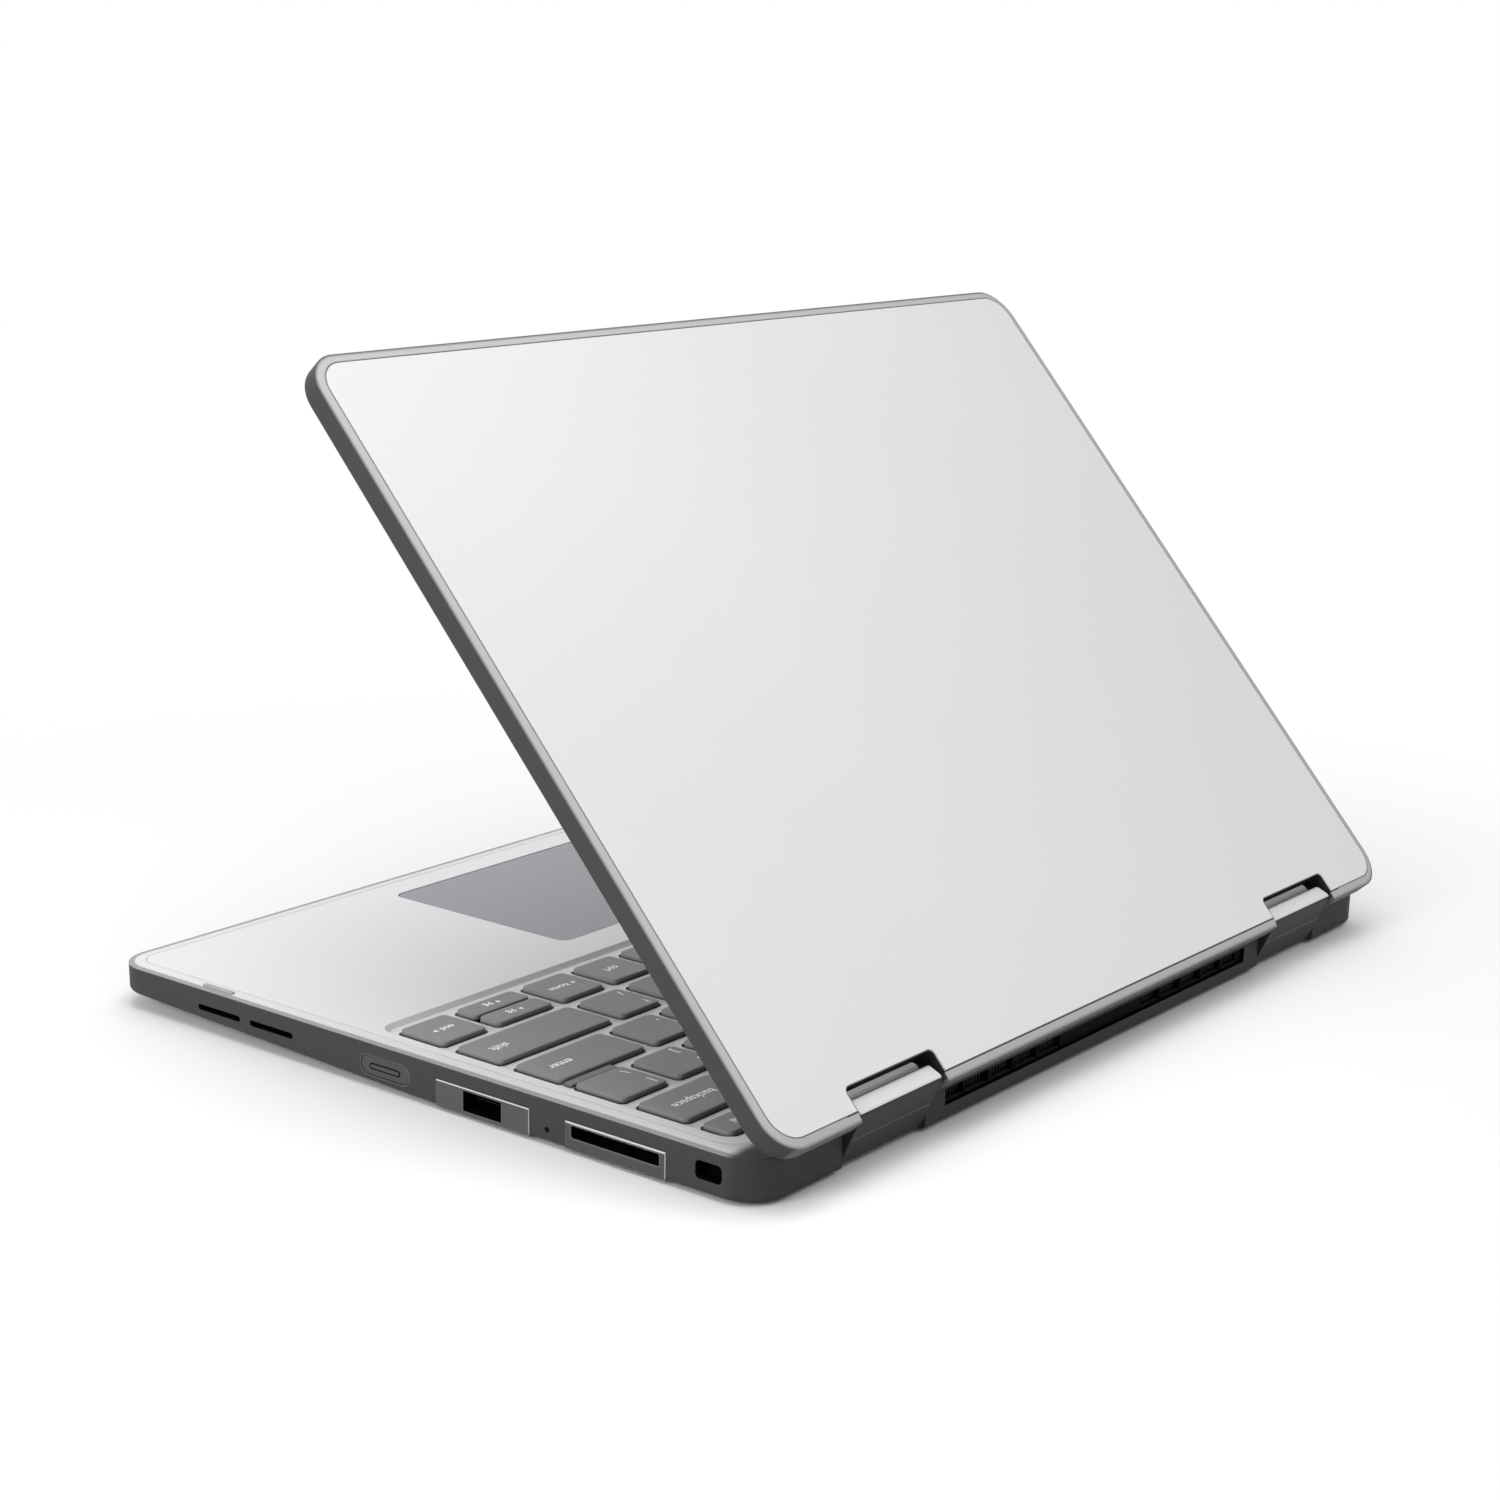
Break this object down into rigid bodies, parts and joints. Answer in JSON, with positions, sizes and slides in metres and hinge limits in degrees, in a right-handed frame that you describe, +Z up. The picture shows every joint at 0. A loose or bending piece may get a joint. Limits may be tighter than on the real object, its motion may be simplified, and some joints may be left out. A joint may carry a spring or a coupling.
{
  "type": "laptop computer",
  "caption": "Slim convertible laptop, half open: pale metal lid and deck, dark bumper sides, slide-in port cards, and a lid that folds right round on twin geared hinges.",
  "frame": {"origin": "on the desk, under the middle of the half-open laptop's bounding box", "axes": "+X to the user's right, +Y to the rear where the hinges are, +Z up"},
  "size_m": [0.287, 0.2198, 0.1727],
  "materials": {
    "cover": "satin anodised",
    "base_shell": "fine matt",
    "deck": "bead-blasted, anodised",
    "grille": "matt",
    "plate": "dull",
    "pad": "etched matt",
    "pouch": "matt film",
    "board": "lacquered",
    "fins": "bright",
    "button": "satin",
    "light_pipe": "clear",
    "bay": "matt",
    "card": "satin",
    "foot": "matt",
    "steel": "bright",
    "hinge_shell": "satin",
    "lid_shell": "fine matt",
    "bezel": "fine matt",
    "screen": "glossy",
    "panel_back": "dull",
    "switch": "matt",
    "keycap": "matt"
  },
  "bodies": {
    "base": {"bottom_cover": "cover", "base_bumper": "base_shell", "top_deck": "deck", "vent_grille": "grille", "keyboard_plate": "plate", "touchpad_bracket": "plate", "battery_pack": "pouch", "mainboard": "board", "memory_module": "board", "storage_module": "board", "wireless_card": "board", "fan_housing": "grille", "heat_sink": "fins", "heat_pipe": "fins", "right_speaker": "grille", "left_speaker": "grille", "status_light": "light_pipe", "lock_bracket": "plate", "audio_jack": "grille", "right_card_bay": "bay", "left_card_bay": "bay", "rubber_feet": "foot", "case_screws": "steel", "base_hinge_brackets": "steel", "base_hinge_shafts": "steel"},
    "hinge_link": {"right_hinge_lower_shell": "hinge_shell", "right_hinge_upper_shell": "hinge_shell", "left_hinge_lower_shell": "hinge_shell", "left_hinge_upper_shell": "hinge_shell"},
    "lower_idlers": {"lower_idler_gears": "steel"},
    "upper_idlers": {"upper_idler_gears": "steel"},
    "lid": {"lid_bumper": "lid_shell", "lid_panel": "deck", "bezel": "bezel", "touch_glass": "screen", "display_panel": "panel_back", "camera_module": "grille", "lid_hinge_brackets": "steel", "lid_hinge_shafts": "steel", "lid_pads": "foot"},
    "camera_shutter": {"camera_switch": "switch"},
    "microphone_shutter": {"microphone_switch": "switch"},
    "bottom_row_keys_body": {"bottom_row_keys": "keycap"},
    "space_bar_body": {"space_bar": "keycap"},
    "arrow_keys_body": {"arrow_keys": "keycap"},
    "lower_row_keys_body": {"lower_row_keys": "keycap"},
    "home_row_keys_body": {"home_row_keys": "keycap"},
    "upper_row_keys_body": {"upper_row_keys": "keycap"},
    "number_row_keys_body": {"number_row_keys": "keycap"},
    "function_row_keys_body": {"function_row_keys": "keycap"},
    "pad": {"touchpad": "pad"},
    "button": {"power_button": "button"},
    "rotor": {"fan_rotor": "grille"},
    "right_front_card": {"type_a_card": "card"},
    "right_rear_card": {"reader_card": "card"},
    "left_front_card": {"front_type_c_card": "card"},
    "left_rear_card": {"rear_type_c_card": "card"}
  },
  "joints": [
    {"name": "base_hinge", "type": "hinge", "parent": "base", "child": "hinge_link", "pos_m": [0, 0.10183, 0.0048], "axis": [-1, 0, 0], "range_deg": [-24, 156]},
    {"name": "lid_hinge", "type": "hinge", "parent": "hinge_link", "child": "lid", "pos_m": [0, 0.10565, 0.01339], "axis": [-1, 0, 0], "range_deg": [-24, 156]},
    {"name": "lower_idler_turn", "type": "hinge", "parent": "hinge_link", "child": "lower_idlers", "pos_m": [0, 0.1031, 0.00766], "axis": [-1, 0, 0], "range_deg": [-24, 156]},
    {"name": "upper_idler_turn", "type": "hinge", "parent": "hinge_link", "child": "upper_idlers", "pos_m": [0, 0.10438, 0.01052], "axis": [-1, 0, 0], "range_deg": [-156, 24]},
    {"name": "bottom_row_press", "type": "slide", "parent": "base", "child": "bottom_row_keys_body", "axis": [0, 0, -1], "range_m": [0, 0.0015], "stiffness_N_per_m": 400},
    {"name": "space_bar_press", "type": "slide", "parent": "base", "child": "space_bar_body", "axis": [0, 0, -1], "range_m": [0, 0.0015], "stiffness_N_per_m": 400},
    {"name": "arrow_press", "type": "slide", "parent": "base", "child": "arrow_keys_body", "axis": [0, 0, -1], "range_m": [0, 0.0015], "stiffness_N_per_m": 400},
    {"name": "lower_row_press", "type": "slide", "parent": "base", "child": "lower_row_keys_body", "axis": [0, 0, -1], "range_m": [0, 0.0015], "stiffness_N_per_m": 400},
    {"name": "home_row_press", "type": "slide", "parent": "base", "child": "home_row_keys_body", "axis": [0, 0, -1], "range_m": [0, 0.0015], "stiffness_N_per_m": 400},
    {"name": "upper_row_press", "type": "slide", "parent": "base", "child": "upper_row_keys_body", "axis": [0, 0, -1], "range_m": [0, 0.0015], "stiffness_N_per_m": 400},
    {"name": "number_row_press", "type": "slide", "parent": "base", "child": "number_row_keys_body", "axis": [0, 0, -1], "range_m": [0, 0.0015], "stiffness_N_per_m": 400},
    {"name": "function_row_press", "type": "slide", "parent": "base", "child": "function_row_keys_body", "axis": [0, 0, -1], "range_m": [0, 0.0015], "stiffness_N_per_m": 400},
    {"name": "pad_press", "type": "slide", "parent": "base", "child": "pad", "axis": [0, 0, -1], "range_m": [0, 0.0003], "stiffness_N_per_m": 2000},
    {"name": "button_press", "type": "slide", "parent": "base", "child": "button", "axis": [-1, 0, 0], "range_m": [0, 0.0005], "stiffness_N_per_m": 100},
    {"name": "fan_spin", "type": "hinge", "parent": "base", "child": "rotor", "pos_m": [-0.046, 0.06308, 0.005], "axis": [0, 0, 1], "continuous": true},
    {"name": "right_front_card_slide", "type": "slide", "parent": "base", "child": "right_front_card", "axis": [1, 0, 0], "range_m": [0, 0.034]},
    {"name": "right_rear_card_slide", "type": "slide", "parent": "base", "child": "right_rear_card", "axis": [1, 0, 0], "range_m": [0, 0.034]},
    {"name": "left_front_card_slide", "type": "slide", "parent": "base", "child": "left_front_card", "axis": [-1, 0, 0], "range_m": [0, 0.034]},
    {"name": "left_rear_card_slide", "type": "slide", "parent": "base", "child": "left_rear_card", "axis": [-1, 0, 0], "range_m": [0, 0.034]},
    {"name": "camera_switch_slide", "type": "slide", "parent": "lid", "child": "camera_shutter", "axis": [1, 0, 0], "range_m": [0, 0.0035]},
    {"name": "microphone_switch_slide", "type": "slide", "parent": "lid", "child": "microphone_shutter", "axis": [1, 0, 0], "range_m": [0, 0.0035]}
  ],
  "couplings": [
    {"joint": "lid_hinge", "follows": "base_hinge", "ratio": 1},
    {"joint": "lower_idler_turn", "follows": "base_hinge", "ratio": 1},
    {"joint": "upper_idler_turn", "follows": "base_hinge", "ratio": -1}
  ]
}
